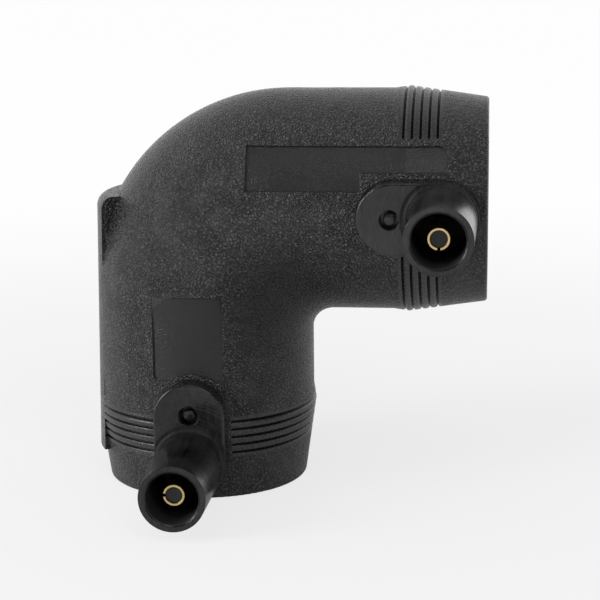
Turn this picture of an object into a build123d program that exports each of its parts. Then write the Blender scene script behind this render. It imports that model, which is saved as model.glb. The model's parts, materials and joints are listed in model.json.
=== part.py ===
from build123d import *
from math import atan, cos, radians, sin, sqrt, tan
import os

# A polyethylene electrofusion elbow for 32 mm pipe, standing on the mouth of its lower socket.
# Millimetres. The origin is the centre of the lower mouth, +Z is up along the lower arm, the right arm
# runs to +X and the two terminal shrouds point to -Y.

# Sockets and bore
pipe_diameter = 32.0
pipe_room = 0.2
socket_wall = 5.5
waterway_radius = 13.2
waterway_inner_radius = 5.7
mouth_lead_in = 0.5
arm_length = 56.4

# Outside of the bend
outer_bend_radius = 39.0
inner_corner_radius = 4.8
bend_arc_steps = 10
bend_run_in = 1.5

# Tapered mouth and the ridge rings behind it
taper_length = 15.2
ridge_stand = 0.45
ridge_ramp_length = 3.0
mouth_draw_in = 2.2
mouth_corner_radius = 0.7
ridge_band_start = 9.5
groove_pitch = 1.6
groove_count = 5
groove_width = 0.9
groove_depth = 0.5

# Terminal boss, shroud and contact pin
terminal_to_mouth = 8.4
boss_width = 13.7
boss_outer_reach = 6.95
boss_inner_reach = 6.25
boss_plane = 25.0
boss_edge = 0.4
shroud_height = 20.6
shroud_mouth_radius = 6.25
shroud_base_radius = 6.65
shroud_foot_radius = 0.8
shroud_bore_radius = 4.9
shroud_bore_lead_in = 0.35
shroud_bore_depth = 18.0
pin_diameter = 4.0
pin_sheet = 0.4
pin_slit = 0.55
pin_recess = 2.45
pin_root = 5.6
pin_root_neck = 0.2
pin_core_recess = 0.5

# Fusion indicator
indicator_to_terminal = 9.7
indicator_well_radius = 1.9
indicator_well_depth = 3.2
indicator_radius = 1.05
indicator_recess = 0.6
indicator_tip_round = 0.25

# Heating wire
wire_diameter = 0.7
wire_room = 0.03
coil_turns = 6.5
coil_to_stop = 9.2
link_skin = 0.65

# Bare recessed panels and the label plate
panel_depth = 0.3
panel_rim = 1.2
panel_corner = 0.8
upper_panel_start = 11.0
upper_panel_to_mouth = 7.4
upper_panel_bottom = 8.0
upper_panel_height = 4.7
upper_panel_round = 2.1
upper_panel_step_length = 21.7
upper_panel_step_height = 3.4
lower_panel_start = 16.0
lower_panel_length = 16.4
lower_panel_width = 13.6
lower_panel_offset = -0.5
plate_half_angle = 27.5
plate_to_mouth = 6.6
plate_stand_bottom = 0.25
plate_lean = 0.85
plate_rise = 1.3
plate_top_round = 2.3
ridge_gap_below = 7.6
ridge_gap_above = 14.0

# Worked out from the sizes above
socket_radius = pipe_diameter / 2 + pipe_room
body_radius = socket_radius + socket_wall
crest_radius = body_radius + ridge_stand
mouth_radius = crest_radius - mouth_draw_in
terminal_x = arm_length - terminal_to_mouth
boss_length = boss_outer_reach + indicator_to_terminal + boss_inner_reach
boss_middle = terminal_x + boss_outer_reach - boss_length / 2
stop_x = waterway_radius + waterway_inner_radius
pivot = body_radius + inner_corner_radius
bend_centre = outer_bend_radius - body_radius
pin_radius = pin_diameter / 2
wire_radius = wire_diameter / 2
coil_radius = socket_radius + wire_room + wire_radius
relief_radius = coil_radius + wire_radius + wire_room
coil_start_x = terminal_x - pin_radius + (pin_sheet + pin_root_neck) / 2
coil_end_x = stop_x + coil_to_stop
coil_pitch = (coil_start_x - coil_end_x) / coil_turns
relief_outer_x = coil_start_x + wire_diameter
relief_inner_x = coil_end_x - wire_diameter
shroud_plane = boss_plane + shroud_height
cup_floor_plane = shroud_plane - shroud_bore_depth
pin_tip_plane = shroud_plane - pin_recess
pin_foot_plane = cup_floor_plane - pin_root
link_plane = socket_radius + link_skin + wire_radius

right_arm = Pos(0, 0, arm_length)
lower_arm = Pos(0, 0, arm_length) * Rot(0, 90, 0)


def turned(points):
    """A solid turned about the arm's axis from (distance from the crossing, radius) points."""
    return revolve(make_face(Polyline(*points, close=True)), Axis.X)


def crest(from_mouth):
    """Radius of the smooth arm at a distance from its mouth, before grooves are cut."""
    if from_mouth > taper_length:
        return crest_radius - ridge_stand * (from_mouth - taper_length) / ridge_ramp_length
    return mouth_radius + mouth_draw_in * from_mouth / taper_length


def smooth_arm(inset=0.0):
    """The straight part of an arm: plain cylinder, ramp up to the ridge band, tapered, rounded mouth."""
    crest_x = arm_length - taper_length
    outline = [
        (pivot, 0),
        (arm_length, 0),
        (arm_length, mouth_radius - inset),
        (crest_x, crest_radius - inset),
        (crest_x - ridge_ramp_length, body_radius - inset),
        (pivot, body_radius - inset),
    ]
    face = make_face(Polyline(*outline, close=True))
    mouth_edge = face.vertices().sort_by(lambda v: v.X + v.Y)[-1]
    return revolve(fillet(mouth_edge, mouth_corner_radius), Axis.X)


def ridge_grooves(keep_smooth):
    """Shallow V grooves round the arm, left out where keep_smooth lies."""
    cutters = []
    for count in range(groove_count):
        from_mouth = ridge_band_start + count * groove_pitch
        x = arm_length - from_mouth
        floor = crest(from_mouth) - groove_depth
        rim = crest_radius + groove_depth
        widen = groove_width / 2 * (rim - floor) / groove_depth
        cutters.append(turned([(x, floor), (x + widen, rim), (x - widen, rim)]))
    return [cutter - keep_smooth for cutter in cutters]


def bend_reach(angle):
    """Distance from the pivot of the inner corner to the outer skin, at an angle of the bend."""
    side = pivot - bend_centre
    along = side * (sin(angle) + cos(angle))
    on_arc = along + sqrt(along**2 - 2 * side**2 + outer_bend_radius**2)
    tangent_angle = side / (pivot + body_radius)
    if tan(angle) < tangent_angle:
        return (pivot + body_radius) / cos(angle)
    if tan(angle) > 1 / tangent_angle:
        return (pivot + body_radius) / sin(angle)
    return on_arc


def bend_section(angle, inset):
    """Oval section of the bend in the plane through the pivot at this angle."""
    reach = bend_reach(angle)
    half = (reach - inner_corner_radius) / 2
    outward = Vector(-sin(angle), 0, cos(angle))
    centre = Vector(pivot, 0, -pivot) + outward * (inner_corner_radius + half)
    plane = Plane(origin=centre, x_dir=outward, z_dir=Vector(-cos(angle), 0, -sin(angle)))
    return plane * Ellipse(half - inset, body_radius - inset)


def bend(inset=0.0):
    """The bend, lofted through ovals that turn about the inner corner's pivot.

    The outer skin runs straight on from each arm up to a tangent angle and is an arc between the two.
    """
    tangent = atan((pivot - bend_centre) / (pivot + body_radius))
    step = (radians(90) - 2 * tangent) / bend_arc_steps
    angles = [0.0, *(tangent + count * step for count in range(bend_arc_steps + 1)), radians(90)]
    start = Plane(origin=(pivot + bend_run_in, 0, 0), x_dir=(0, 0, 1), z_dir=(-1, 0, 0))
    end = Plane(origin=(0, 0, -pivot - bend_run_in), x_dir=(-1, 0, 0), z_dir=(0, 0, -1))
    run_in = Ellipse(body_radius - inset, body_radius - inset)
    sections = [bend_section(angle, inset) for angle in angles]
    return loft([start * run_in, *sections, end * run_in])


def front_plane(distance):
    """Plane that faces -Y at a distance from the arm's axis, with X along the arm and Z up in it."""
    return Plane(origin=(0, -distance, 0), x_dir=(1, 0, 0), z_dir=(0, -1, 0))


def boss_outline(grow=0.0):
    """Stadium outline of the boss, grown all round."""
    return Pos(boss_middle, 0) * SlotOverall(boss_length + 2 * grow, boss_width + 2 * grow)


def boss():
    """Flat-topped stadium that carries the shroud and the fusion indicator."""
    base = body_radius - socket_wall / 2
    solid = extrude(front_plane(base) * boss_outline(), boss_plane - base)
    return fillet(solid.faces().sort_by(Axis.Y)[0].edges(), boss_edge)


def turned_on_terminal(outline):
    """A solid turned about the terminal's axis from an outline of radius and distance from the arm."""
    return Pos(terminal_x, 0, 0) * (Rot(180, 0, 0) * revolve(make_face(outline), Axis.Y))


def shroud_foot():
    """Concave foot of the shroud, kept to the flat top of the boss."""
    wide = shroud_base_radius + shroud_foot_radius
    high = boss_plane + shroud_foot_radius
    low = boss_plane - boss_edge
    sides = Polyline((shroud_base_radius, high), (0, high), (0, low), (wide, low), (wide, boss_plane))
    foot = turned_on_terminal(sides + CenterArc((wide, high), shroud_foot_radius, 180, 90))
    return foot & extrude(front_plane(low) * boss_outline(-boss_edge), high - low)


def shroud():
    """Tapered sleeve round the contact pin, before it is bored."""
    base = front_plane(boss_plane - boss_edge) * Pos(terminal_x, 0) * Circle(shroud_base_radius)
    rim = front_plane(shroud_plane) * Pos(terminal_x, 0) * Circle(shroud_mouth_radius)
    return loft([base, rim]) + shroud_foot()


def shroud_bore():
    """The space inside the shroud, with a small lead-in, left full round the pin's core."""
    outline = [
        (0, cup_floor_plane),
        (shroud_bore_radius, cup_floor_plane),
        (shroud_bore_radius, shroud_plane - shroud_bore_lead_in),
        (shroud_bore_radius + shroud_bore_lead_in, shroud_plane),
        (0, shroud_plane),
    ]
    return turned_on_terminal(Polyline(*outline, close=True))


def round_bar(radius, low_plane, high_plane):
    """Round bar on the terminal's axis between two distances from the arm's axis."""
    return extrude(front_plane(low_plane) * Pos(terminal_x, 0) * Circle(radius), high_plane - low_plane)


def contact_pin():
    """Split brass sleeve with a necked root that the moulding grips."""
    sleeve = round_bar(pin_radius, cup_floor_plane, pin_tip_plane)
    sleeve += round_bar(pin_radius - pin_root_neck, pin_foot_plane, cup_floor_plane)
    sleeve -= round_bar(pin_radius - pin_sheet, pin_foot_plane, pin_tip_plane)
    middle = (pin_foot_plane + pin_tip_plane) / 2
    slit = Box(pin_slit, pin_tip_plane - pin_foot_plane, pin_diameter)
    return sleeve - Pos(terminal_x, -middle, -pin_radius) * slit


def pin_seat():
    """Room in the moulding for the root of the contact pin, with the core inside left standing."""
    ring = round_bar(pin_radius - pin_root_neck, pin_foot_plane, cup_floor_plane)
    return ring - round_bar(pin_radius - pin_sheet, pin_foot_plane, cup_floor_plane)


def pin_core():
    """The moulding that fills the sleeve, up to just below its tip."""
    return round_bar(pin_radius - pin_sheet, cup_floor_plane, pin_tip_plane - pin_core_recess)


def indicator_bar(radius, low_plane, high_plane):
    """Round bar on the indicator's axis."""
    return Pos(-indicator_to_terminal, 0, 0) * round_bar(radius, low_plane, high_plane)


def indicator_well():
    return indicator_bar(indicator_well_radius, boss_plane - indicator_well_depth, boss_plane)


def indicator():
    """Small pin that stands in the well, with a rounded tip."""
    foot = boss_plane - indicator_well_depth
    bar = indicator_bar(indicator_radius, foot, boss_plane - indicator_recess)
    return fillet(bar.faces().sort_by(Axis.Y)[0].edges(), indicator_tip_round)


def socket_room():
    """Space inside a socket: lead-in, bore, shallow relief for the coil, and the pipe stop."""
    outline = [
        (stop_x, 0),
        (arm_length, 0),
        (arm_length, socket_radius + mouth_lead_in),
        (arm_length - mouth_lead_in, socket_radius),
        (relief_outer_x, socket_radius),
        (relief_outer_x, relief_radius),
        (relief_inner_x, relief_radius),
        (relief_inner_x, socket_radius),
        (stop_x, socket_radius),
    ]
    return turned(outline)


def waterway():
    """Quarter turn of round bore between the two pipe stops."""
    face = Plane.YZ.offset(stop_x) * Circle(waterway_radius)
    return revolve(face, Axis((stop_x, 0, -stop_x), (0, 1, 0)), -90)


def panel(outline):
    """Shallow recess that follows the arm under a flat outline, with a rim left round the boss."""
    block = extrude(front_plane(waterway_radius) * (outline - boss_outline(panel_rim)), body_radius)
    return block - smooth_arm(panel_depth) - bend(panel_depth)


def upper_panel():
    """Bare name panel of the right arm: a long strip with a rounded end and a short step below."""
    length = arm_length - upper_panel_to_mouth - upper_panel_start
    strip = Pos(upper_panel_start, upper_panel_bottom) * Rectangle(
        length, upper_panel_height, align=(Align.MIN, Align.MIN)
    )
    round_end = strip.vertices().group_by(Axis.X)[-1]
    strip = fillet(round_end, upper_panel_round)
    step = Pos(upper_panel_start, upper_panel_bottom - upper_panel_step_height) * Rectangle(
        upper_panel_step_length, upper_panel_step_height * 2, align=(Align.MIN, Align.MIN)
    )
    return strip + step


def lower_panel():
    """Bare size panel of the lower arm, above its boss."""
    middle = lower_panel_start + lower_panel_length / 2
    outline = RectangleRounded(lower_panel_length, lower_panel_width, panel_corner)
    return Pos(middle, lower_panel_offset) * outline


def beside_lower_arm(outline):
    """An outline of radius and height, turned through the label plate's angle on the outer side."""
    sector = revolve(Plane.XZ * outline, Axis.Z, 2 * plate_half_angle)
    return Rot(0, 0, 180 - plate_half_angle) * sector


def plate_face_line():
    """Foot and head of the label plate's outer face, which leans in as it goes up."""
    foot = body_radius + plate_stand_bottom
    return (foot, plate_to_mouth), (foot - plate_lean, arm_length + plate_rise)


def label_plate():
    """Smooth patch on the outer side of the lower arm that runs straight up past the bend."""
    foot, head = plate_face_line()
    inner = socket_radius + socket_wall / 2
    outline = Polyline(
        foot,
        head,
        (inner - socket_wall, head[1]),
        (inner, arm_length - pivot),
        (inner, foot[1]),
        close=True,
    )
    face = make_face(outline)
    head_corner = face.vertices().sort_by(lambda v: v.X + v.Y)[-1]
    return beside_lower_arm(fillet(head_corner, plate_top_round))


def plate_clearing():
    """Everything of the arm that would stand out in front of the label plate."""
    foot, head = plate_face_line()
    outside = crest_radius + ridge_stand
    outline = Polyline(foot, head, (outside, head[1]), (outside, foot[1]), close=True)
    return beside_lower_arm(make_face(outline))


def wire_run(width):
    """The stretch of wire that crosses from one coil to the other inside the back of the bend."""
    quarter = CenterArc((coil_end_x, -coil_end_x), coil_end_x, 90, 90)
    right_end = Line((coil_end_x + wire_diameter, 0), (coil_end_x, 0))
    lower_end = Line((0, -coil_end_x), (0, -coil_end_x - wire_diameter))
    plane = Plane(origin=(0, link_plane, 0), x_dir=(1, 0, 0), z_dir=(0, -1, 0))
    path = plane * (Curve() + [right_end, quarter, lower_end])
    start = Plane(origin=(coil_end_x + wire_diameter, link_plane, 0), z_dir=(-1, 0, 0))
    return sweep(start * Rectangle(width, width), path=path)


def wire_lead(radius):
    """Short radial stretch between the foot of the contact pin and the start of the coil."""
    face = front_plane(coil_radius) * Pos(coil_start_x, 0) * Circle(radius)
    return extrude(face, pin_foot_plane - coil_radius)


def coil():
    """The winding, from the contact pin's side at the front to the back of the socket."""
    line = Helix(coil_pitch, coil_pitch * coil_turns, coil_radius)
    start = Plane(origin=line @ 0, x_dir=(1, 0, 0), z_dir=line % 0)
    winding = sweep(start * Rectangle(wire_diameter, wire_diameter), path=line, is_frenet=True)
    inward = Plane(origin=(coil_start_x, 0, 0), x_dir=(0, -1, 0), z_dir=(-1, 0, 0))
    return inward.location * winding


def arm_skin(keep_above):
    """Arm with its ridge grooves, which are left out from under the boss to keep_above."""
    width = ridge_gap_below + keep_above
    keep = Pos(arm_length, -body_radius, (keep_above - ridge_gap_below) / 2)
    keep *= Box(arm_length, 2 * body_radius, width)
    arm = smooth_arm()
    for cutter in ridge_grooves(keep):
        arm -= cutter
    return arm


def arm_inside():
    """Everything that is hollow in one arm."""
    room = socket_room() + wire_lead(wire_radius + wire_room) + indicator_well()
    return [room, shroud_bore(), pin_seat()]


def outside():
    """The elbow as if it were solid: both arms, the bend, panels, label plate, bosses and shrouds."""
    turn_down = Rot(0, 90, 0)
    skin = bend() + arm_skin(ridge_gap_above) + turn_down * arm_skin(ridge_gap_below)
    skin = skin - panel(upper_panel()) - turn_down * panel(lower_panel())
    skin = Pos(0, 0, arm_length) * skin - plate_clearing() + label_plate()
    for arm in (right_arm, lower_arm):
        skin += arm * (boss() + shroud())
    return skin


def elbow_body():
    body = outside() - Pos(0, 0, arm_length) * waterway()
    body -= Pos(0, 0, arm_length) * wire_run(wire_diameter + 2 * wire_room)
    for arm in (right_arm, lower_arm):
        for hollow in arm_inside():
            body -= arm * hollow
        body += arm * pin_core()
    return body


def heating_wire():
    """The whole resistance wire: lead, coil, link inside the bend, coil, lead."""
    wire = Pos(0, 0, arm_length) * wire_run(wire_diameter)
    for arm in (right_arm, lower_arm):
        wire += arm * coil()
        wire += arm * wire_lead(wire_radius)
    return wire


nodes = {"elbow_body": elbow_body(), "heating_wire": heating_wire()}
for name, arm in (("right", right_arm), ("lower", lower_arm)):
    nodes[name + "_contact_pin"] = arm * contact_pin()
    nodes[name + "_fusion_indicator"] = arm * indicator()

os.makedirs("parts", exist_ok=True)
for name, shape in nodes.items():
    shape.label = name
    export_step(shape, "parts/" + name + ".step")
print("body radius", body_radius, "socket radius", socket_radius, "pipe stop at", stop_x)
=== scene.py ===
# %% [markdown]
# # An electrofusion elbow in black polyethylene
# The object is a pipe fitting: one thick moulding with two sockets, a winding of resistance wire in each
# socket, and two shrouded brass pins for the leads that heat the wire.
# The exact solids come from the CAD frame. This file gives them their surfaces, their light and the
# fine things that are too small for a solid model.
# The frame is loaded first, and its box is kept and printed.

# %% Load the frame
import json
from math import atan2, cos, pi, radians, sin, sqrt, tan

import bmesh
import bpy
from mathutils import Matrix, Vector


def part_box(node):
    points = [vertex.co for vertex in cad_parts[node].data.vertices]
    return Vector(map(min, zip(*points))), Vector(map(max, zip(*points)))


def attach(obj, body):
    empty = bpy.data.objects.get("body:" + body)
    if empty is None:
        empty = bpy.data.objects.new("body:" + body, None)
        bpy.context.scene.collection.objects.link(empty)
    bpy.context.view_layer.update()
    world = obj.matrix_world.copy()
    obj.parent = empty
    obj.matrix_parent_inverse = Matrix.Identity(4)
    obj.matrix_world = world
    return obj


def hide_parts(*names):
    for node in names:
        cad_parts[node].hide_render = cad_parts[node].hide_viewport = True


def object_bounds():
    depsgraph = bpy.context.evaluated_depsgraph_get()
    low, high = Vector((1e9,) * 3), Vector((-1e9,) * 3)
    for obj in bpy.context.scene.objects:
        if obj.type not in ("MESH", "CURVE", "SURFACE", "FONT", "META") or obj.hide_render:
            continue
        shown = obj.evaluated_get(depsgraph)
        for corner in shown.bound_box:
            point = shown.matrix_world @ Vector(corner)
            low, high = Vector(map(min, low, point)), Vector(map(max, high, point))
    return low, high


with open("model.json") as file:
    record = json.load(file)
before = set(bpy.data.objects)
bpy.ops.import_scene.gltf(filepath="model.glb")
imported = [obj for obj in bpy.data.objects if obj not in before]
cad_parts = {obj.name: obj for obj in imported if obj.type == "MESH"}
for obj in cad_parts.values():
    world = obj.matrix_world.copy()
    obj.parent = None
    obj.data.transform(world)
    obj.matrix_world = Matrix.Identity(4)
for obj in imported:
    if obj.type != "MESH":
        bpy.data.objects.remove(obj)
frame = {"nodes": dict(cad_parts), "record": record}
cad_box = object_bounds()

MM = 0.001
print("CAD box in mm:", [[round(value / MM, 2) for value in corner] for corner in cad_box])

# %% [markdown]
# ## Sizes that the surfaces need
# The record's mounts say where the two bores and the two pins are, and how wide they are. Reading them
# keeps the finish on the right spot if the fitting is ever made in another size.
# Sizes that no mount states are written here once. They are the same as in the solid model.

# %% Read the mounts
mounts = {mount["name"]: mount for mount in frame["record"]["mounts"]}
bore_radius = mounts["right_socket"]["dims"]["r_mm"] * MM
crossing = Vector((0.0, 0.0, mounts["right_socket"]["pos_m"][2]))
terminal_along = mounts["right_terminal"]["pos_m"][0]
arm_length = cad_box[1][0]
SIDES = ("right", "lower")
STOP_ALONG = 18.9 * MM
WATERWAY_RADIUS = 13.2 * MM
print("bore radius", bore_radius, "crossing", crossing, "terminal", terminal_along, "arm", arm_length)

# %% [markdown]
# ## Camera
# A long lens, a little above the fitting and to its right, sees it as the photograph does: almost from
# the front, tilted down by about a seventh of a right angle.
# A camera can be aimed by hand, or with a constraint. Here its place and three turns are written down,
# because they were worked out from the round mouths of the shrouds, which are good rulers.

# %% Place the camera
CAMERA_FROM_CROSSING = Vector((57.34, -367.62, 61.73)) * MM
CAMERA_YAW = radians(5.945)
CAMERA_PITCH = radians(12.593)
CAMERA_ROLL = radians(-0.604)
FOCAL_PIXELS = 1888.2
IMAGE_PIXELS = 600
SENSOR_MM = 36.0
NEAREST_SEEN = 0.01


def camera_turn(yaw, pitch, roll):
    """Turn of a camera that looks along +Y, swung left by yaw, down by pitch and rolled."""
    forward = Vector((-sin(yaw) * cos(pitch), cos(yaw) * cos(pitch), -sin(pitch)))
    level = Vector((cos(yaw), sin(yaw), 0.0))
    upright = level.cross(forward)
    right = cos(roll) * level + sin(roll) * upright
    up = -sin(roll) * level + cos(roll) * upright
    return Matrix((right, up, -forward)).transposed().to_4x4()


def add_camera():
    data = bpy.data.cameras.new("camera")
    data.sensor_width = SENSOR_MM
    data.lens = FOCAL_PIXELS * SENSOR_MM / IMAGE_PIXELS
    data.clip_start = NEAREST_SEEN
    camera = bpy.data.objects.new("camera", data)
    place = Matrix.Translation(crossing + CAMERA_FROM_CROSSING)
    camera.matrix_world = place @ camera_turn(CAMERA_YAW, CAMERA_PITCH, CAMERA_ROLL)
    bpy.context.scene.collection.objects.link(camera)
    bpy.context.scene.camera = camera
    return camera


camera = add_camera()
print("lens in mm:", round(camera.data.lens, 1))

# %% [markdown]
# ## A short hand for nodes
# Every finish below is a small network of nodes. Adding nodes one by one in Python takes many lines, so
# this class shortens it: a call makes a node, sets its inputs and returns its first output.
# The floor and the world use it too.

# %% Node helper
EDGE_SOFT = 0.1 * MM


class Nodes:
    """A node tree and short calls that add nodes to it."""

    def __init__(self, tree):
        self.tree = tree

    def node(self, kind, inputs=(), **settings):
        """Adds a node. inputs is (socket name or number, value or output) pairs."""
        made = self.tree.nodes.new(kind)
        for key, value in settings.items():
            setattr(made, key, value)
        for key, value in inputs:
            if isinstance(value, bpy.types.NodeSocket):
                self.tree.links.new(value, made.inputs[key])
            else:
                made.inputs[key].default_value = value
        return made

    def math(self, operation, *values, clamp=False):
        pairs = list(enumerate(values))
        return self.node("ShaderNodeMath", pairs, operation=operation, use_clamp=clamp).outputs[0]

    def times(self, first, *others):
        for other in others:
            first = self.math("MULTIPLY", first, other)
        return first

    def most(self, first, *others):
        for other in others:
            first = self.math("MAXIMUM", first, other)
        return first

    def without(self, share, full=1.0):
        """What is left of full once share is taken off."""
        return self.math("SUBTRACT", full, share)

    def less(self, share, strength):
        """A factor that falls from 1 by strength where share is 1."""
        return self.without(self.times(share, strength))

    def split(self, vector):
        return self.node("ShaderNodeSeparateXYZ", [(0, vector)]).outputs

    def joined(self, x=0.0, y=0.0, z=0.0):
        return self.node("ShaderNodeCombineXYZ", [(0, x), (1, y), (2, z)]).outputs[0]

    def length(self, vector):
        return self.node("ShaderNodeVectorMath", [(0, vector)], operation="LENGTH").outputs["Value"]

    def ramp(self, value, low, high, to_low=0.0, to_high=1.0):
        """Runs smoothly from to_low to to_high as value goes from low to high."""
        keys = ("Value", "From Min", "From Max", "To Min", "To Max")
        pairs = zip(keys, (value, low, high, to_low, to_high))
        return self.node("ShaderNodeMapRange", pairs, interpolation_type="SMOOTHSTEP").outputs[0]

    def below(self, value, limit, soft=EDGE_SOFT):
        return self.ramp(value, limit - soft, limit + soft, 1.0, 0.0)

    def above(self, value, limit, soft=EDGE_SOFT):
        return self.ramp(value, limit - soft, limit + soft)

    def between(self, value, low, high, soft=EDGE_SOFT):
        return self.times(self.above(value, low, soft), self.below(value, high, soft))

    def mix(self, share, low, high):
        pairs = [("Factor", share), ("A", low), ("B", high)]
        return self.node("ShaderNodeMix", pairs, data_type="FLOAT").outputs[0]


class Finish(Nodes):
    """A material, with calls that read a place on the object and turn it into colour and relief."""

    BEVEL_SAMPLES = 6

    def __init__(self, name):
        self.material = bpy.data.materials.new(name)
        self.material.use_nodes = True
        super().__init__(self.material.node_tree)
        self.shader = self.tree.nodes["Principled BSDF"]
        self.place = self.node("ShaderNodeTexCoord").outputs["Object"]

    def shifted(self, offset, scale=(1.0, 1.0, 1.0)):
        """The place on the object, moved and then scaled."""
        pairs = [(0, self.place), (1, offset)]
        moved = self.node("ShaderNodeVectorMath", pairs, operation="SUBTRACT").outputs[0]
        pairs = [(0, moved), (1, scale)]
        return self.node("ShaderNodeVectorMath", pairs, operation="MULTIPLY").outputs[0]

    def noise(self, size, detail=2.0, distortion=0.0, vector=None):
        """Noise whose blots are about size metres wide."""
        pairs = [
            ("Vector", vector or self.place),
            ("Scale", 1.0 / size),
            ("Detail", detail),
            ("Roughness", 0.5),
            ("Distortion", distortion),
        ]
        return self.node("ShaderNodeTexNoise", pairs).outputs["Fac"]

    def bump(self, height, depth, normal):
        pairs = [("Height", height), ("Distance", depth), ("Strength", 1.0), ("Normal", normal)]
        return self.node("ShaderNodeBump", pairs).outputs[0]

    def rounded(self, radius):
        """The normal as it would be with every edge rounded to this radius."""
        return self.node("ShaderNodeBevel", [("Radius", radius)], samples=self.BEVEL_SAMPLES).outputs[0]

    def colour(self, share, low, high):
        made = self.node("ShaderNodeMix", data_type="RGBA")
        self.tree.links.new(share, made.inputs[0])
        for number, value in ((6, low), (7, high)):
            if isinstance(value, bpy.types.NodeSocket):
                self.tree.links.new(value, made.inputs[number])
            else:
                made.inputs[number].default_value = (*value, 1.0)
        return made.outputs[2]

    def set(self, **values):
        """Sets or links inputs of the shader, with underscores for the spaces in their names."""
        for key, value in values.items():
            socket = self.shader.inputs[key.replace("_", " ")]
            if isinstance(value, bpy.types.NodeSocket):
                self.tree.links.new(value, socket)
            else:
                socket.default_value = value
        return self.material


print("node helper ready, edges fade over", 2 * EDGE_SOFT / MM, "mm")

# %% [markdown]
# ## Where the bores are
# One moulding has several finishes, because different steel parts of the mould formed them: eroded
# outer faces, polished inserts for the terminals, smooth cores for the bores.
# They could be painted as separate faces, but the shading would then stop at face borders. Distances
# from the arm's axis and from the terminal tell the finishes apart at any point, so they are used.

# %% Arms, bores and mouths
WALL_REACH = 0.95 * MM
WATERWAY_REACH = 0.5 * MM
BEND_MARGIN = 0.2 * MM
MOUTH_FACE_DEPTH, MOUTH_FACE_SOFT = 0.06 * MM, 0.03 * MM


def arm_place(finish, side):
    """Along an arm from the crossing, forward, across its front, and out from its axis."""
    x, y, z = finish.split(finish.shifted(crossing))
    along, across = (x, z) if side == "right" else (finish.math("MULTIPLY", z, -1.0), x)
    return along, y, across, finish.length(finish.joined(across, y))


def core_zone(finish):
    """1 in the two sockets and in the waterway of the bend."""
    found = []
    for side in SIDES:
        along, y, across, radius = arm_place(finish, side)
        inside = finish.below(radius, bore_radius + WALL_REACH)
        found.append(finish.times(inside, finish.above(along, STOP_ALONG)))
    x, y, z = finish.split(finish.shifted(crossing + Vector((STOP_ALONG, 0.0, -STOP_ALONG))))
    ring = finish.math("SUBTRACT", finish.length(finish.joined(x, z)), STOP_ALONG)
    tube = finish.below(finish.length(finish.joined(ring, y)), WATERWAY_RADIUS + WATERWAY_REACH)
    quarter = finish.times(finish.below(x, BEND_MARGIN), finish.above(z, -BEND_MARGIN))
    return finish.most(finish.times(tube, quarter), *found)


def face_zone(finish):
    """1 on the flat ends of the two sockets."""
    limit = arm_length - MOUTH_FACE_DEPTH
    found = [finish.above(arm_place(finish, side)[0], limit, MOUTH_FACE_SOFT) for side in SIDES]
    return finish.most(*found)


print("bore finish reaches to radius", round((bore_radius + WALL_REACH) / MM, 2), "mm")

# %% [markdown]
# ## Where the terminals are
# A stadium-shaped boss carries each shroud. Both were moulded by one polished insert, so they share a
# smooth, slightly streaky gloss. Only the rounding at the shroud's foot and the deep cup stayed dull.
# The boss is told by its distance from a short line, and the shroud by its distance from its axis.

# %% Bosses, shrouds and cups
BOSS_HALF_WIDTH = 6.85 * MM
BOSS_RUN = (-9.1 * MM, 0.1 * MM)
BOSS_GROW = 0.12 * MM
BOSS_FRONT = -17.0 * MM
CUP_RADIUS, CUP_SOFT, CUP_FRONT = 5.0 * MM, 0.04 * MM, -27.0 * MM
PIN_WALL = (1.9 * MM, 2.1 * MM)
PIN_CORE_SHARE = 0.6
FOOT_RADII, FOOT_SOFT = (6.4 * MM, 7.8 * MM), 0.3 * MM
FOOT_DEPTHS = (-26.3 * MM, -24.6 * MM)


def boss_distance(finish, side):
    """Distance from the middle line of the boss, seen from the front."""
    along, y, across, radius = arm_place(finish, side)
    low, high = (terminal_along + end for end in BOSS_RUN)
    past = finish.math("ABSOLUTE", finish.math("SUBTRACT", along, (low + high) / 2))
    past = finish.math("MAXIMUM", finish.math("SUBTRACT", past, (high - low) / 2), 0.0)
    return finish.length(finish.joined(past, across))


def terminal_distance(finish):
    """Distance from the axis of the nearer terminal."""
    found = []
    for side in SIDES:
        along, y, across, radius = arm_place(finish, side)
        beside = finish.math("SUBTRACT", along, terminal_along)
        found.append(finish.length(finish.joined(beside, across)))
    return finish.math("MINIMUM", *found)


def cup_zone(finish):
    """1 on the inner wall and floor of the shrouds, less on the core inside the pin."""
    y, away = finish.split(finish.place)[1], terminal_distance(finish)
    share = finish.ramp(away, *PIN_WALL, PIN_CORE_SHARE, 1.0)
    return finish.times(finish.below(away, CUP_RADIUS, CUP_SOFT), finish.below(y, CUP_FRONT), share)


def foot_zone(finish):
    """1 on the small rounding where a shroud rises from its boss, which was left dull."""
    y, away = finish.split(finish.place)[1], terminal_distance(finish)
    return finish.times(finish.between(away, *FOOT_RADII, FOOT_SOFT), finish.between(y, *FOOT_DEPTHS))


def insert_zone(finish, grow=BOSS_GROW):
    """1 on the bosses and all that stands on them."""
    y = finish.split(finish.place)[1]
    found = [finish.below(boss_distance(finish, side), BOSS_HALF_WIDTH + grow) for side in SIDES]
    return finish.times(finish.most(*found), finish.below(y, BOSS_FRONT))


print("boss", 2 * BOSS_HALF_WIDTH / MM, "mm wide, cup", 2 * CUP_RADIUS / MM, "mm wide")
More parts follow.
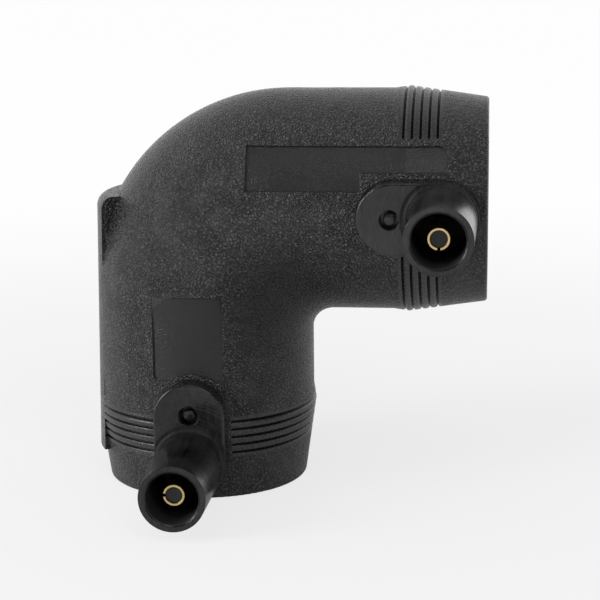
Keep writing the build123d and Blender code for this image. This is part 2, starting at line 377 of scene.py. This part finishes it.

# %% [markdown]
# ## Where the panels and the label plate are
# The two recessed panels on the front and the raised plate on the outer side are bare here. Inserts formed
# them as well, but they were left matt. The upper panel steps round its boss, so two rectangles make it.
# Towards the tight inner corner the colour is darkened, as painted shade. The label plate is darkened as
# painted shade too, and the panels are made darker in colour.

# %% Panels, label plate and inner corner
PANEL_RIM = 1.2 * MM
RIGHT_PANELS = (((11.0, 49.0), (8.0, 12.7)), ((11.0, 32.7), (4.6, 12.7)))
LOWER_PANELS = (((16.0, 32.4), (-7.3, 6.3)),)
PLATE_HALF_ANGLE = radians(27.5)
PLATE_SOFT = 0.05 * MM
PLATE_MIN_RADIUS = 20.4 * MM
PLATE_TOP_ALONG = -1.4 * MM
INNER_CORNER = Vector((17.0, 0.0, -17.0)) * MM
CORNER_FADE = (4.0 * MM, 17.0 * MM)


def panel_zone(finish):
    """1 on the bare recessed panels."""
    found = []
    for side, panels in (("right", RIGHT_PANELS), ("lower", LOWER_PANELS)):
        along, y, across, radius = arm_place(finish, side)
        for run, width in panels:
            lengthwise = finish.between(along, run[0] * MM, run[1] * MM)
            widthwise = finish.between(across, width[0] * MM, width[1] * MM)
            found.append(finish.times(lengthwise, widthwise, finish.below(y, 0.0)))
    return finish.times(finish.most(*found), finish.without(insert_zone(finish, PANEL_RIM)))


def plate_zone(finish):
    """1 on the label plate at the outer side of the lower arm."""
    along, y, across, radius = arm_place(finish, "lower")
    limit = finish.math("MULTIPLY", across, -tan(PLATE_HALF_ANGLE))
    inside = finish.below(finish.math("SUBTRACT", finish.math("ABSOLUTE", y), limit), PLATE_SOFT)
    outside = finish.above(radius, PLATE_MIN_RADIUS)
    return finish.times(inside, outside, finish.above(along, PLATE_TOP_ALONG))


def corner_shade_zone(finish):
    """Fades in towards the tight inner corner of the bend, where the colour is darkened as painted shade.
    """
    x, y, z = finish.split(finish.shifted(crossing + INNER_CORNER))
    near = finish.ramp(finish.length(finish.joined(x, z)), *CORNER_FADE, 1.0, 0.0)
    return finish.times(near, finish.below(y, 0.0))


print("panel rectangles on the right arm:", len(RIGHT_PANELS), "on the lower arm:", len(LOWER_PANELS))

# %% [markdown]
# ## Where the ridge rings and the seam are
# The rings behind each mouth give a clamp its grip. They are smoother than the skin, with grooves between
# them that are real relief and whose bottoms are also painted dark, as painted shade. A fine seam runs
# round the fitting where the two halves of the mould met.
# The rings repeat at an even pitch, so a cosine along the arm finds every groove at once.

# %% Ridge rings and seam
RIDGE_START = 9.5 * MM
RIDGE_PITCH = 1.6 * MM
RIDGE_COUNT = 5
RIDGE_END = RIDGE_START + (RIDGE_COUNT - 1) * RIDGE_PITCH
RIDGE_GAPS = {"right": (-7.6 * MM, 14.0 * MM), "lower": (-7.6 * MM, 7.6 * MM)}
RIDGE_MARGIN, RIDGE_SOFT = 0.9 * MM, 0.3 * MM
RIDGE_MIN_RADIUS = 19.5 * MM
GROOVE_LINE = (0.35, 0.95)
SEAM_HALF_WIDTH, SEAM_SOFT = 0.07 * MM, 0.05 * MM


def ridge_zone(finish):
    """1 on the ridge rings, which left a smoother part of the mould."""
    found = []
    for side in SIDES:
        along, y, across, radius = arm_place(finish, side)
        from_mouth = finish.without(along, arm_length)
        ends = RIDGE_START - RIDGE_MARGIN, RIDGE_END + RIDGE_MARGIN
        zone = finish.between(from_mouth, *ends, RIDGE_SOFT)
        gap = finish.times(finish.between(across, *RIDGE_GAPS[side]), finish.below(y, 0.0))
        found.append(finish.times(zone, finish.without(gap), finish.above(radius, RIDGE_MIN_RADIUS)))
    return finish.most(*found)


def groove_zone(finish):
    """1 along the bottom of the grooves between the ridge rings, where the colour is painted black as
    painted shade and the gloss is duller.
    """
    found = []
    for side in SIDES:
        along, y, across, radius = arm_place(finish, side)
        from_mouth = finish.without(along, arm_length)
        turns = finish.math("DIVIDE", finish.math("SUBTRACT", from_mouth, RIDGE_START), RIDGE_PITCH)
        wave = finish.math("COSINE", finish.math("MULTIPLY", turns, 2 * pi))
        ends = RIDGE_START - RIDGE_PITCH / 3, RIDGE_END + RIDGE_PITCH / 3
        found.append(finish.times(finish.ramp(wave, *GROOVE_LINE), finish.between(from_mouth, *ends)))
    return finish.times(finish.most(*found), ridge_zone(finish))


def parting_line(finish):
    """Height of the fine seam that the two halves of the mould left all round."""
    y = finish.math("ABSOLUTE", finish.split(finish.place)[1])
    return finish.below(y, SEAM_HALF_WIDTH, SEAM_SOFT)


print("rings from", RIDGE_START / MM, "to", round(RIDGE_END / MM, 2), "mm behind each mouth")

# %% [markdown]
# ## Grain and tool marks
# The outside faces of the mould were spark-eroded, so the skin has a fine leathery grain that breaks up
# reflections into sparkle. The bosses, shrouds and bores came off polished steel and show its fine
# lines: round the terminals, and round the bores.
# The grain could be modelled, but at half a millimetre it would take millions of faces. Three textures
# make it: cells for the leather's islands, warped folds over them, and specks between the folds.

# %% Relief of the skin
GRAIN_SIZE = 0.58 * MM
SPECK_SIZE = 0.2 * MM
PATCH_SIZE = 5.0 * MM
ISLAND_SHARE, FOLD_SHARE, SPECK_SHARE = 0.45, 0.35, 0.2
BOSS_LINE_SIZE, DRAW_LINE_SIZE, BORE_LINE_SIZE = 0.5 * MM, 0.7 * MM, 0.3 * MM
DRAW_DIRECTION = (1.0, 0.03, 0.35)
NO_SHIFT = (0.0, 0.0, 0.0)
NOISE_RANGE = (0.3, 0.7)


def leather_grain(finish):
    """Height of the eroded skin, and how strong it is from patch to patch."""
    pairs = [("Vector", finish.place), ("Scale", 1.0 / GRAIN_SIZE), ("Randomness", 1.0)]
    creases = finish.node("ShaderNodeTexVoronoi", pairs, feature="DISTANCE_TO_EDGE").outputs["Distance"]
    islands = finish.ramp(creases, 0.0, 0.4)
    folds = finish.ramp(finish.noise(GRAIN_SIZE, detail=1.5, distortion=0.5), *NOISE_RANGE)
    specks = finish.ramp(finish.noise(SPECK_SIZE, detail=1.0), *NOISE_RANGE)
    patches = finish.ramp(finish.noise(PATCH_SIZE), *NOISE_RANGE, 0.75, 1.1)
    large = finish.math("ADD", finish.times(islands, ISLAND_SHARE), finish.times(folds, FOLD_SHARE))
    return finish.math("ADD", large, finish.times(specks, SPECK_SHARE)), patches


def tool_marks(finish, core, insert):
    """Fine lines of the polished steel: round the terminals, and round the bores."""
    rings = finish.joined(terminal_distance(finish))
    boss_lines = finish.noise(BOSS_LINE_SIZE, detail=3.0, vector=rings)
    drawn = finish.shifted(NO_SHIFT, DRAW_DIRECTION)
    draw_lines = finish.noise(DRAW_LINE_SIZE, detail=3.0, vector=drawn)
    x, y, z = finish.split(finish.shifted(crossing))
    bore_lines = finish.noise(BORE_LINE_SIZE, vector=finish.joined(finish.math("SUBTRACT", x, z)))
    lines = finish.math("ADD", finish.times(boss_lines, 0.5), finish.times(draw_lines, 0.5))
    return finish.math("ADD", finish.times(lines, insert), finish.times(bore_lines, core))


print("grain", GRAIN_SIZE / MM, "mm wide with specks of", SPECK_SIZE / MM, "mm")

# %% [markdown]
# ## Black polyethylene
# Carbon black leaves almost no colour of its own, so all that shows is the reflection, broken by the grain.
# The crests of the grain are painted a little paler than its valleys, as painted light on the crests and
# painted shade in the valleys, which is what the eye reads as leather.
# Relief, colour and gloss are worked out from the same zones, so that they change at the same borders.

# %% Polyethylene finish
EDGE_ROUND = 0.22 * MM
SEAM_HEIGHT, WAVE_HEIGHT, MARK_HEIGHT, GRAIN_DEPTH = 0.05 * MM, 0.03 * MM, 0.045 * MM, 0.34 * MM
WAVE_SIZE, FLOW_SIZE = 3.0 * MM, 9.0 * MM
CALM = {"panel": 0.8, "plate": 0.55, "ridge": 0.85}
# How much the colour is darkened: painted shade in the inner corner and on the label plate, and a plainly
# darker colour on the panels.
DARKER = {"corner": 0.75, "plate": 0.6, "panel": 0.55}
DEEP_BLACK = (0.0, 0.0, 0.0)
STREAK_BLACK = (0.03, 0.03, 0.031)
# Colour of the grain's crests: painted light, against painted shade in its valleys.
LIT_CREST_BLACK = (0.075, 0.075, 0.076)
CUP_BLACK = (0.026, 0.026, 0.027)
GRAIN_ROUGHNESS, POLISH_ROUGHNESS = (0.2, 0.32), (0.15, 0.2)
PANEL_ROUGHNESS, CORE_ROUGHNESS, FOOT_ROUGHNESS, CUP_ROUGHNESS = 0.36, 0.3, 0.5, 0.6
FULL_SHINE, DULL_SHINE = 0.5, 0.2
POLYETHYLENE_IOR = 1.51


def grain_left(finish, at, patches):
    """How much of the grain each place keeps."""
    left = finish.times(finish.without(at["smooth"]), finish.less(at["panel"], CALM["panel"]))
    left = finish.times(left, finish.less(at["plate"], CALM["plate"]), patches)
    return finish.times(left, finish.less(ridge_zone(finish), CALM["ridge"]))


def skin_relief(finish, at, leather, grain):
    """Rounded edges, seam, slow waves, tool marks and grain, one on top of the other."""
    seam_height = finish.times(parting_line(finish), grain)
    seam = finish.bump(seam_height, SEAM_HEIGHT, finish.rounded(EDGE_ROUND))
    wavy = finish.bump(finish.noise(WAVE_SIZE), WAVE_HEIGHT, seam)
    marks = finish.bump(tool_marks(finish, at["core"], at["insert"]), MARK_HEIGHT, wavy)
    return finish.bump(finish.times(leather, grain), GRAIN_DEPTH, marks)


def skin_colour(finish, at, leather, grain, flow):
    """Black: paler on the crests of the grain as painted light against painted shade in its valleys, paler
    along the tool marks, darkened as painted shade in the inner corner, on the label plate and in the ring
    grooves, and darker on the panels.
    """
    streaks = finish.ramp(tool_marks(finish, at["core"], at["insert"]), 0.35, 0.65)
    cloudy = finish.ramp(flow, 0.35, 0.7)
    streaky = finish.times(finish.math("ADD", streaks, cloudy), 0.5)
    polished = finish.colour(streaky, DEEP_BLACK, STREAK_BLACK)
    # Painted shade in the valleys of the grain and painted light on its crests: the crests are coloured
    # paler.
    pale = finish.mix(grain, 0.5, finish.ramp(leather, 0.38, 0.74))
    # Painted shade: the colour darkens towards the inner corner.
    pale = finish.times(pale, finish.less(corner_shade_zone(finish), DARKER["corner"]))
    # Painted shade on the label plate; the panels are simply made darker.
    for zone in ("plate", "panel"):
        pale = finish.times(pale, finish.less(at[zone], DARKER[zone]))
    # Painted shade: the colour goes black along the bottoms of the ring grooves.
    pale = finish.times(pale, finish.without(at["groove"]))
    painted_shade_skin = finish.colour(pale, DEEP_BLACK, LIT_CREST_BLACK)
    return finish.colour(at["cup"], finish.colour(at["smooth"], painted_shade_skin, polished), CUP_BLACK)


def skin_roughness(finish, at, leather, flow):
    grained = finish.ramp(leather, *NOISE_RANGE, *GRAIN_ROUGHNESS)
    grained = finish.mix(at["panel"], grained, PANEL_ROUGHNESS)
    polished = finish.mix(at["core"], finish.ramp(flow, *NOISE_RANGE, *POLISH_ROUGHNESS), CORE_ROUGHNESS)
    rough = finish.mix(at["cup"], finish.mix(at["smooth"], grained, polished), CUP_ROUGHNESS)
    return finish.mix(at["foot"], rough, FOOT_ROUGHNESS)


def black_polyethylene(name):
    finish = Finish(name)
    at = {
        "core": core_zone(finish),
        "insert": insert_zone(finish),
        "panel": panel_zone(finish),
        "plate": plate_zone(finish),
        "face": face_zone(finish),
        "cup": cup_zone(finish),
        "foot": foot_zone(finish),
        "groove": groove_zone(finish),
    }
    at["smooth"] = finish.most(at["core"], at["insert"], at["face"])
    leather, patches = leather_grain(finish)
    grain = grain_left(finish, at, patches)
    flow = finish.noise(FLOW_SIZE)
    dull = finish.most(at["cup"], at["groove"], at["foot"])
    return finish.set(
        Base_Color=skin_colour(finish, at, leather, grain, flow),
        Roughness=skin_roughness(finish, at, leather, flow),
        IOR=POLYETHYLENE_IOR,
        Normal=skin_relief(finish, at, leather, grain),
        Specular_IOR_Level=finish.mix(dull, FULL_SHINE, DULL_SHINE),
    )


polyethylene = black_polyethylene("black_polyethylene")
indicator_plastic = black_polyethylene("indicator_polyethylene")
print("nodes in the polyethylene:", len(polyethylene.node_tree.nodes))

# %% [markdown]
# ## Brass and wire
# The contact pins are rolled from brass sheet and drawn to size, so their polish carries fine lines
# along the pin. The wire in the bores is a copper-nickel alloy, bare and slightly pink.
# Metal needs little more than its colour and a roughness that varies.

# %% Brass and wire finishes
SHEET_EDGE = 0.14 * MM
DRAWN_LINE_SIZE, DRAWN_LINE_DEPTH = 0.06 * MM, 0.004 * MM
TARNISH_SIZE = 1.5 * MM
METAL_ROUGHNESS = (0.24, 0.36)
BRIGHT_BRASS, DULL_BRASS = (0.86, 0.66, 0.33), (0.66, 0.48, 0.21)
BRIGHT_ALLOY, DULL_ALLOY = (0.86, 0.62, 0.47), (0.70, 0.44, 0.31)


def drawn_metal(name, bright, dull, along):
    """Metal with fine lines along one direction and a slightly uneven tarnish."""
    finish = Finish(name)
    lines = finish.noise(DRAWN_LINE_SIZE, detail=1.0, vector=finish.shifted(NO_SHIFT, along))
    tarnish = finish.noise(TARNISH_SIZE)
    return finish.set(
        Base_Color=finish.colour(tarnish, dull, bright),
        Metallic=1.0,
        Roughness=finish.ramp(tarnish, *NOISE_RANGE, *METAL_ROUGHNESS),
        Normal=finish.bump(lines, DRAWN_LINE_DEPTH, finish.rounded(SHEET_EDGE)),
    )


brass = drawn_metal("contact_brass", BRIGHT_BRASS, DULL_BRASS, (1.0, 0.05, 1.0))
wire_metal = drawn_metal("resistance_wire", BRIGHT_ALLOY, DULL_ALLOY, (1.0, 1.0, 1.0))
finishes = {"elbow_body": polyethylene, "right_contact_pin": brass, "lower_contact_pin": brass}
for name, material in finishes.items():
    mesh = frame["nodes"][name].data
    mesh.materials.clear()
    mesh.materials.append(material)
print("finished nodes:", sorted(finishes))

# %% [markdown]
# ## Rounded hollows between the ridges
# The rings behind each mouth are a row of soft beads. The solid model has plain V grooves there.
# Each groove gets a lining with a rounded bottom, turned round the arm's axis like a piece on a lathe.
# The rings stop at the boss, at the upper panel and at the label plate, and so do the linings.

# %% Line the ridge grooves
GROOVE_DEPTH = 0.5 * MM
GROOVE_WALL_SLOPE = 0.5 / 0.45
GROOVE_LEFT = 0.46 * MM
CREST_RADIUS = 22.15 * MM
MOUTH_RADIUS = 19.95 * MM
TAPER_LENGTH = 15.2 * MM
RAMP_DROP, RAMP_LENGTH = 0.45 * MM, 3.0 * MM
LOWER_PLATE_EDGES = (radians(242.4), radians(297.6))
RING_END_MARGIN = 0.006
LINING_STEPS = 7
LINING_SINK = 0.01 * MM
LINING_TURN = radians(3.0)
SLOPE_REACH = 0.3 * MM


def to_side(side):
    """Turns the right arm's own axes, with x along the arm, into the place of either arm."""
    if side == "right":
        return Matrix.Translation(crossing)
    down = Matrix(((0.0, 0.0, 1.0), (0.0, 1.0, 0.0), (-1.0, 0.0, 0.0))).to_4x4()
    return Matrix.Translation(crossing) @ down


def on_arm(along, radius, angle):
    """A point of an arm: angle 0 faces the front and runs towards the arm's upper or right side."""
    return Vector((along, -radius * cos(angle), radius * sin(angle)))


def strip(row, size):
    """Faces between one row of points and the row before it."""
    return [(row + i, row + i + 1, row + i + 1 - size, row + i - size) for i in range(size - 1)]


def add_piece(name, vertices, faces, material, side=None, smooth=True):
    mesh = bpy.data.meshes.new(name)
    place = to_side(side) if side else Matrix.Identity(4)
    mesh.from_pydata([place @ Vector(vertex) for vertex in vertices], [], faces)
    mesh.materials.append(material)
    shape = bmesh.new()
    shape.from_mesh(mesh)
    bmesh.ops.recalc_face_normals(shape, faces=shape.faces)
    shape.to_mesh(mesh)
    shape.free()
    for face in mesh.polygons:
        face.use_smooth = smooth
    piece = bpy.data.objects.new(name, mesh)
    bpy.context.scene.collection.objects.link(piece)
    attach(piece, "root")
    return piece


def ring_runs(side):
    """Pairs of angles between which the rings of an arm run."""
    below, above = (atan2(edge, sqrt(CREST_RADIUS**2 - edge**2)) for edge in RIDGE_GAPS[side])
    start, end = above - RING_END_MARGIN, 2 * pi + below + RING_END_MARGIN
    if side == "right":
        return [(start, end)]
    return [(start, LOWER_PLATE_EDGES[0]), (LOWER_PLATE_EDGES[1], end)]


def crest(from_mouth):
    """Radius of the arm's skin at a distance from its mouth."""
    if from_mouth > TAPER_LENGTH:
        return CREST_RADIUS - RAMP_DROP * (from_mouth - TAPER_LENGTH) / RAMP_LENGTH
    return MOUTH_RADIUS + (CREST_RADIUS - MOUTH_RADIUS) * from_mouth / TAPER_LENGTH


def lining_section(number):
    """Points (along the arm, radius) of one lining, from the bend side to the mouth side."""
    middle = RIDGE_START + number * RIDGE_PITCH
    points = []
    for step in range(-LINING_STEPS, LINING_STEPS + 1):
        way = 1 if step < 0 else -1
        lean = (crest(middle + way * SLOPE_REACH) - crest(middle)) / SLOPE_REACH
        width = GROOVE_DEPTH / (GROOVE_WALL_SLOPE - lean)
        from_mouth = middle + way * width * abs(step) / LINING_STEPS
        drop = GROOVE_LEFT * (1 - abs(step) / LINING_STEPS) ** 2
        points.append((arm_length - from_mouth, crest(from_mouth) - drop - LINING_SINK))
    return points


def groove_lining(side):
    vertices, faces = [], []
    for start, end in ring_runs(side):
        count = int((end - start) / LINING_TURN)
        for number in range(RIDGE_COUNT):
            section = lining_section(number)
            for turn in range(count + 1):
                angle = start + (end - start) * turn / count
                row = len(vertices)
                vertices += [on_arm(along, radius, angle) for along, radius in section]
                if turn:
                    faces += strip(row, len(section))
    return add_piece(side + "_groove_lining", vertices, faces, polyethylene, side)


linings = [groove_lining(side) for side in SIDES]
print("lining faces:", [len(piece.data.polygons) for piece in linings])

# %% [markdown]
# ## The winding
# A bare wire runs from one pin, in six and a half turns through the first socket, along the back of the
# bend, and in the same way through the second socket to the other pin. It melts the plastic round the pipe.
# The solid model has the same run with a square section. A curve with a round bevel is quick to write
# and gives the true round wire, so it is drawn as one and turned into a mesh.

# %% Wind the wire
WIRE_RADIUS = 0.35 * MM
COIL_RADIUS = 16.58 * MM
COIL_START = 46.3 * MM
COIL_PITCH = 2.8 * MM
COIL_TURNS = 6.5
COIL_END = COIL_START - COIL_PITCH * COIL_TURNS
LINK_PLANE = 17.2 * MM
LINK_STEPS = 24
LEAD_FOOT = 22.0 * MM
STEPS_A_TURN = 56


def coil_line():
    """Points of a coil, from its start near the mouth inwards."""
    points = []
    for step in range(int(COIL_TURNS * STEPS_A_TURN) + 1):
        along = COIL_START - COIL_PITCH * step / STEPS_A_TURN
        points.append(on_arm(along, COIL_RADIUS, 2 * pi * step / STEPS_A_TURN))
    return points


def wire_line():
    """The whole wire: lead, coil, link inside the back of the bend, coil, lead."""
    half = [on_arm(COIL_START, LEAD_FOOT, 0.0)] + coil_line()
    right, lower = ([to_side(side) @ point for point in half] for side in SIDES)
    centre = crossing + Vector((COIL_END, 0.0, -COIL_END))
    link = []
    for step in range(LINK_STEPS + 1):
        turn = pi / 2 * step / LINK_STEPS
        link.append(centre + Vector((-COIL_END * sin(turn), LINK_PLANE, COIL_END * cos(turn))))
    return right + link + lower[::-1]


def wind_wire():
    line = wire_line()
    curve = bpy.data.curves.new("winding_line", "CURVE")
    curve.dimensions = "3D"
    curve.bevel_depth = WIRE_RADIUS
    curve.bevel_resolution = 2
    curve.use_fill_caps = True
    run = curve.splines.new("POLY")
    run.points.add(len(line) - 1)
    for point, place in zip(run.points, line):
        point.co = (*place, 1.0)
    drawn = bpy.data.objects.new("winding_line", curve)
    mesh = bpy.data.meshes.new_from_object(drawn)
    bpy.data.objects.remove(drawn)
    mesh.name = "winding"
    mesh.materials.clear()
    mesh.materials.append(wire_metal)
    for face in mesh.polygons:
        face.use_smooth = True
    winding = bpy.data.objects.new("winding", mesh)
    bpy.context.scene.collection.objects.link(winding)
    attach(winding, "root")
    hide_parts("heating_wire")
    return winding


winding = wind_wire()
print("wire faces:", len(winding.data.polygons))

# %% [markdown]
# ## Plastic between the turns
# In the real socket the wire lies bedded in the bore, with plastic between its turns. The solid model
# leaves one wide relief there. A flat band that follows the coil half a turn's pitch away fills it.

# %% Bed the winding
BAND_HALF_WIDTH = 0.99 * MM
BAND_TURNS = 5.5
BAND_ROUND = 0.12 * MM
BAND_SINK = 0.02 * MM
BAND_BACK = 0.04 * MM


def bedding(side):
    inner, outer = bore_radius + BAND_SINK, COIL_RADIUS + WIRE_RADIUS + BAND_BACK
    section = [
        (-BAND_HALF_WIDTH, outer),
        (-BAND_HALF_WIDTH, inner + BAND_ROUND),
        (-BAND_HALF_WIDTH + BAND_ROUND, inner),
        (BAND_HALF_WIDTH - BAND_ROUND, inner),
        (BAND_HALF_WIDTH, inner + BAND_ROUND),
        (BAND_HALF_WIDTH, outer),
    ]
    vertices, faces, size = [], [], len(section)
    count = int(BAND_TURNS * STEPS_A_TURN)
    for step in range(count + 1):
        angle = 2 * pi * step / STEPS_A_TURN
        along = COIL_START - COIL_PITCH * (0.5 + step / STEPS_A_TURN)
        row = len(vertices)
        vertices += [on_arm(along + shift, radius, angle) for shift, radius in section]
        if step:
            faces += strip(row, size)
    faces += [tuple(range(size)), tuple(range(count * size, (count + 1) * size))]
    name = side + "_winding_bed"
    return add_piece(name, vertices, faces, polyethylene, side, smooth=False)


beds = [bedding(side) for side in SIDES]
print("bed faces:", [len(piece.data.polygons) for piece in beds])

# %% [markdown]
# ## Fusion indicators
# A small plastic peg waits in a well beside each shroud and rises when the joint has melted. Its tip
# is a low dome with a rounded edge. A profile turned round the peg's axis gives that shape.

# %% Turn the indicators
PEG_RADIUS = 1.2 * MM
PEG_EDGE = 0.3 * MM
PEG_CROWN = 0.08 * MM
PEG_FLAT = PEG_RADIUS - PEG_EDGE
CROWN_STEPS, EDGE_STEPS, PEG_SIDES = 4, 6, 48
SAME_POINT = 0.001 * MM


def peg_profile(tip, foot):
    """Points (radius, y) of the peg, from the middle of its tip to the middle of its foot."""
    profile = [(0.0, tip)]
    for step in range(1, CROWN_STEPS + 1):
        share = step / CROWN_STEPS
        profile.append((PEG_FLAT * share, tip + PEG_CROWN * share**2))
    for step in range(1, EDGE_STEPS + 1):
        turn = pi / 2 * step / EDGE_STEPS
        profile.append((PEG_FLAT + PEG_EDGE * sin(turn), tip + PEG_CROWN + PEG_EDGE * (1 - cos(turn))))
    return profile + [(PEG_RADIUS, foot), (0.0, foot)]


def indicator_peg(side):
    node = side + "_fusion_indicator"
    low, high = (Vector(corner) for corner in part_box(node))
    middle = (low + high) / 2
    vertices, faces = [], []
    for number, (radius, y) in enumerate(peg_profile(low.y, high.y)):
        for step in range(PEG_SIDES):
            angle = 2 * pi * step / PEG_SIDES
            vertices.append((middle.x + radius * cos(angle), y, middle.z + radius * sin(angle)))
        if number:
            row, back = number * PEG_SIDES, (number - 1) * PEG_SIDES
            for i in range(PEG_SIDES):
                beside = (i + 1) % PEG_SIDES
                faces.append((row + i, row + beside, back + beside, back + i))
    name = side + "_indicator_peg"
    peg = add_piece(name, vertices, faces, indicator_plastic)
    shape = bmesh.new()
    shape.from_mesh(peg.data)
    bmesh.ops.remove_doubles(shape, verts=shape.verts, dist=SAME_POINT)
    shape.to_mesh(peg.data)
    shape.free()
    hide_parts(node)
    return peg


pegs = [indicator_peg(side) for side in SIDES]
print("peg radius in mm:", PEG_RADIUS / MM)

# %% [markdown]
# ## Floor
# The fitting stands on white paper. Light Path's ray switches let the paper glow for the camera and for
# mirrors, so it looks white without more light on the fitting. Close to the fitting it glows less, which
# keeps the shadow. Seen from underneath it is clear, so that the lower mouth can be looked at.

# %% Lay the paper
FLOOR_SIZE = 6.0
PAPER_COLOUR, PAPER_ROUGHNESS = (0.92, 0.92, 0.92, 1.0), 0.9
CAMERA_GLOW = (0.05, 0.35, 0.75)
MIRROR_GLOW = (0.15, 0.6, 0.1)
FAR_GLOW = 0.98


def seen_directly(nodes):
    """Switches that are 1 for camera rays, and 1 for glossy and transmission rays."""
    rays = nodes.node("ShaderNodeLightPath").outputs
    mirror = nodes.math("ADD", rays["Is Glossy Ray"], rays["Is Transmission Ray"], clamp=True)
    return rays["Is Camera Ray"], mirror


def white_paper():
    """Paper that glows from near (share) at start metres to FAR_GLOW at end metres."""
    paper = Finish("floor_paper")
    paper.set(Base_Color=PAPER_COLOUR, Roughness=PAPER_ROUGHNESS)
    away, shares = paper.length(paper.place), []
    for ray, (start, end, near) in zip(seen_directly(paper), (CAMERA_GLOW, MIRROR_GLOW)):
        shares.append(paper.times(paper.ramp(away, start, end, near, FAR_GLOW), ray))
    seen = paper.math("ADD", *shares, clamp=True)
    underneath = paper.node("ShaderNodeNewGeometry").outputs["Backfacing"]
    surface, glow = paper.shader.outputs[0], paper.node("ShaderNodeEmission").outputs[0]
    clear = paper.node("ShaderNodeBsdfTransparent").outputs[0]
    for share, other in ((seen, glow), (underneath, clear)):
        surface = paper.node("ShaderNodeMixShader", [(0, share), (1, surface), (2, other)]).outputs[0]
    paper.tree.links.new(surface, paper.tree.nodes["Material Output"].inputs["Surface"])
    return paper.material


def add_floor():
    half = FLOOR_SIZE / 2
    corners = [(-half, -half, 0.0), (half, -half, 0.0), (half, half, 0.0), (-half, half, 0.0)]
    mesh = bpy.data.meshes.new("floor")
    mesh.from_pydata(corners, [], [(0, 1, 2, 3)])
    mesh.materials.append(white_paper())
    floor = bpy.data.objects.new("floor", mesh)
    bpy.context.scene.collection.objects.link(floor)
    return floor


floor = add_floor()
print("floor in metres:", FLOOR_SIZE)

# %% [markdown]
# ## Lamps
# Four soft boxes light the fitting, all from the front half of the studio. The strong one on the left
# gives the grain its sparkle, and the others lift the lower left, the right side and the top.
# Larger boxes would be softer still, but would wash out the grain.

# %% Hang the lamps
LAMP_SIZE = 0.4
LAMPS = (
    ("left_box", (-0.8, -0.5, 0.35), 4.0),
    ("low_left_box", (-0.85, -0.3, 0.2), 1.7),
    ("upper_right_box", (0.4, -0.7, 0.6), 1.3),
    ("overhead_box", (0.0, -0.5, 0.8), 0.5),
)
LIT_FROM_CROSSING = Vector((10.0, 0.0, -15.0)) * MM


def add_lamp(name, place, target, power):
    data = bpy.data.lights.new(name, "AREA")
    data.shape = "RECTANGLE"
    data.size = LAMP_SIZE
    data.size_y = LAMP_SIZE
    data.energy = power
    lamp = bpy.data.objects.new(name, data)
    turn = (target - place).to_track_quat("-Z", "Y").to_matrix().to_4x4()
    lamp.matrix_world = Matrix.Translation(place) @ turn
    bpy.context.scene.collection.objects.link(lamp)
    return lamp


lit = crossing + LIT_FROM_CROSSING
lamps = [add_lamp(name, lit + Vector(place), lit, power) for name, place, power in LAMPS]
print("lamps in watts:", {lamp.name: round(lamp.data.energy, 2) for lamp in lamps})

# %% [markdown]
# ## Background
# Black plastic shows almost nothing but reflections, so what matters is where the white is. The camera
# sees white everywhere. The fitting mirrors white paper behind it, grey towards the photographer and a
# slightly darker ceiling. Dull surfaces get a weaker, even light from all round.

# %% Paint the studio
FRONT_GREY, BEHIND_WHITE, FRONT_TO_BACK = 0.24, 1.0, (-0.1, 0.4)
OVERHEAD_SHARE, LEVEL_TO_HIGH = 0.75, (0.1, 0.6)
SKY_LIGHT = 0.32


def add_world():
    """White for the camera, graded from front to back for mirrors, and soft light for dull surfaces."""
    world = bpy.data.worlds.new("studio")
    world.use_nodes = True
    studio = Nodes(world.node_tree)
    direction = studio.split(studio.node("ShaderNodeTexCoord").outputs["Generated"])
    camera_ray, mirror_ray = seen_directly(studio)
    level = studio.ramp(direction[1], *FRONT_TO_BACK, FRONT_GREY, BEHIND_WHITE)
    mirrored = studio.times(level, studio.ramp(direction[2], *LEVEL_TO_HIGH, 1.0, OVERHEAD_SHARE))
    seen = studio.math("ADD", studio.times(mirrored, mirror_ray), camera_ray)
    soft = studio.ramp(studio.math("ADD", camera_ray, mirror_ray), 0.0, 1.0, SKY_LIGHT, 0.0)
    background = world.node_tree.nodes["Background"].inputs
    background["Color"].default_value = (1.0, 1.0, 1.0, 1.0)
    world.node_tree.links.new(studio.math("ADD", seen, soft), background["Strength"])
    bpy.context.scene.world = world
    return world


world = add_world()
bpy.context.scene.view_settings.view_transform = "Standard"
print("background:", world.name, "with", len(world.node_tree.nodes), "nodes")
